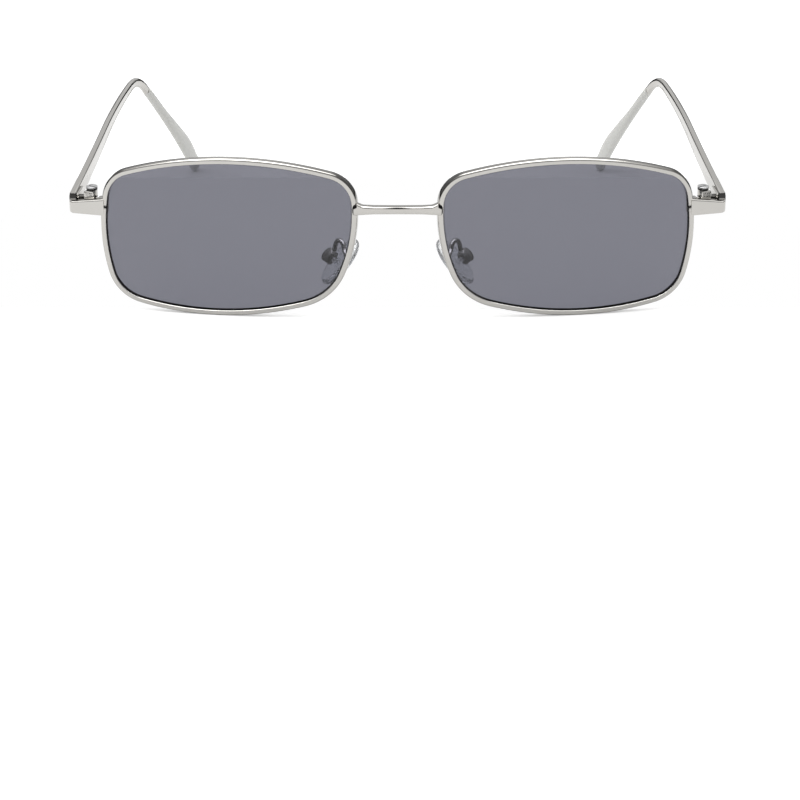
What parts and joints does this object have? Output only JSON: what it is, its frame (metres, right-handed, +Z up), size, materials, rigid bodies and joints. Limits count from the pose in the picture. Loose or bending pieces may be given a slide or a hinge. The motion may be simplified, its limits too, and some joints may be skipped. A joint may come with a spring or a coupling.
{
  "type": "rectangular metal sunglasses",
  "caption": "Narrow rectangular wire sunglasses with tinted lenses, folding temples with drop tips and rocking nose pads on arms.",
  "frame": {"origin": "middle of the footprint on the table, below the middle between the front and the two tips", "axes": "+X to the viewer's right across the front, +Y back along the open temples to the tips, +Z up"},
  "size_m": [0.1448, 0.1384, 0.0364],
  "materials": {
    "silver_metal": "polished silver plating on thin wire and strip, with soft reflections",
    "screw_steel": "small bright screws with turned heads",
    "tinted_lens": "even grey tint, clear enough to see through, polished on both faces",
    "milky_plastic": "smooth milky grey plastic, slightly see-through",
    "clear_silicone": "soft clear silicone with a smooth face"
  },
  "bodies": {
    "front": {"bridge": "silver_metal", "rim_left": "silver_metal", "rim_right": "silver_metal", "lens_left": "tinted_lens", "lens_right": "tinted_lens", "end_piece_left": "silver_metal", "end_piece_right": "silver_metal", "rim_lock_upper_left": "silver_metal", "rim_lock_upper_right": "silver_metal", "rim_lock_lower_left": "silver_metal", "rim_lock_lower_right": "silver_metal", "rim_screw_left": "screw_steel", "rim_screw_right": "screw_steel", "front_hinge_left": "silver_metal", "front_hinge_right": "silver_metal", "hinge_screw_left": "screw_steel", "hinge_screw_right": "screw_steel", "pad_arm_left": "silver_metal", "pad_arm_right": "silver_metal", "pad_box_left": "silver_metal", "pad_box_right": "silver_metal", "pad_screw_left": "screw_steel", "pad_screw_right": "screw_steel"},
    "temple_left": {"temple_left": "silver_metal", "temple_hinge_left": "silver_metal", "temple_tip_left": "milky_plastic"},
    "pad_left": {"nose_pad_left": "clear_silicone"},
    "temple_right": {"temple_right": "silver_metal", "temple_hinge_right": "silver_metal", "temple_tip_right": "milky_plastic"},
    "pad_right": {"nose_pad_right": "clear_silicone"}
  },
  "joints": [
    {"name": "fold_left", "type": "hinge", "parent": "front", "child": "temple_left", "pos_m": [-0.06744, -0.05582, 0.0241], "axis": [0, 0.0878, -0.9961], "range_deg": [0, 86]},
    {"name": "fold_right", "type": "hinge", "parent": "front", "child": "temple_right", "pos_m": [0.06744, -0.05582, 0.0241], "axis": [0, -0.0878, 0.9961], "range_deg": [0, 81]},
    {"name": "rock_left", "type": "hinge", "parent": "front", "child": "pad_left", "pos_m": [-0.01482, -0.05923, 0.01215], "axis": [-0.3746, 0.9236, 0.0814], "range_deg": [-12, 12]},
    {"name": "rock_right", "type": "hinge", "parent": "front", "child": "pad_right", "pos_m": [0.01482, -0.05923, 0.01215], "axis": [-0.3746, -0.9236, -0.0814], "range_deg": [-12, 12]}
  ]
}
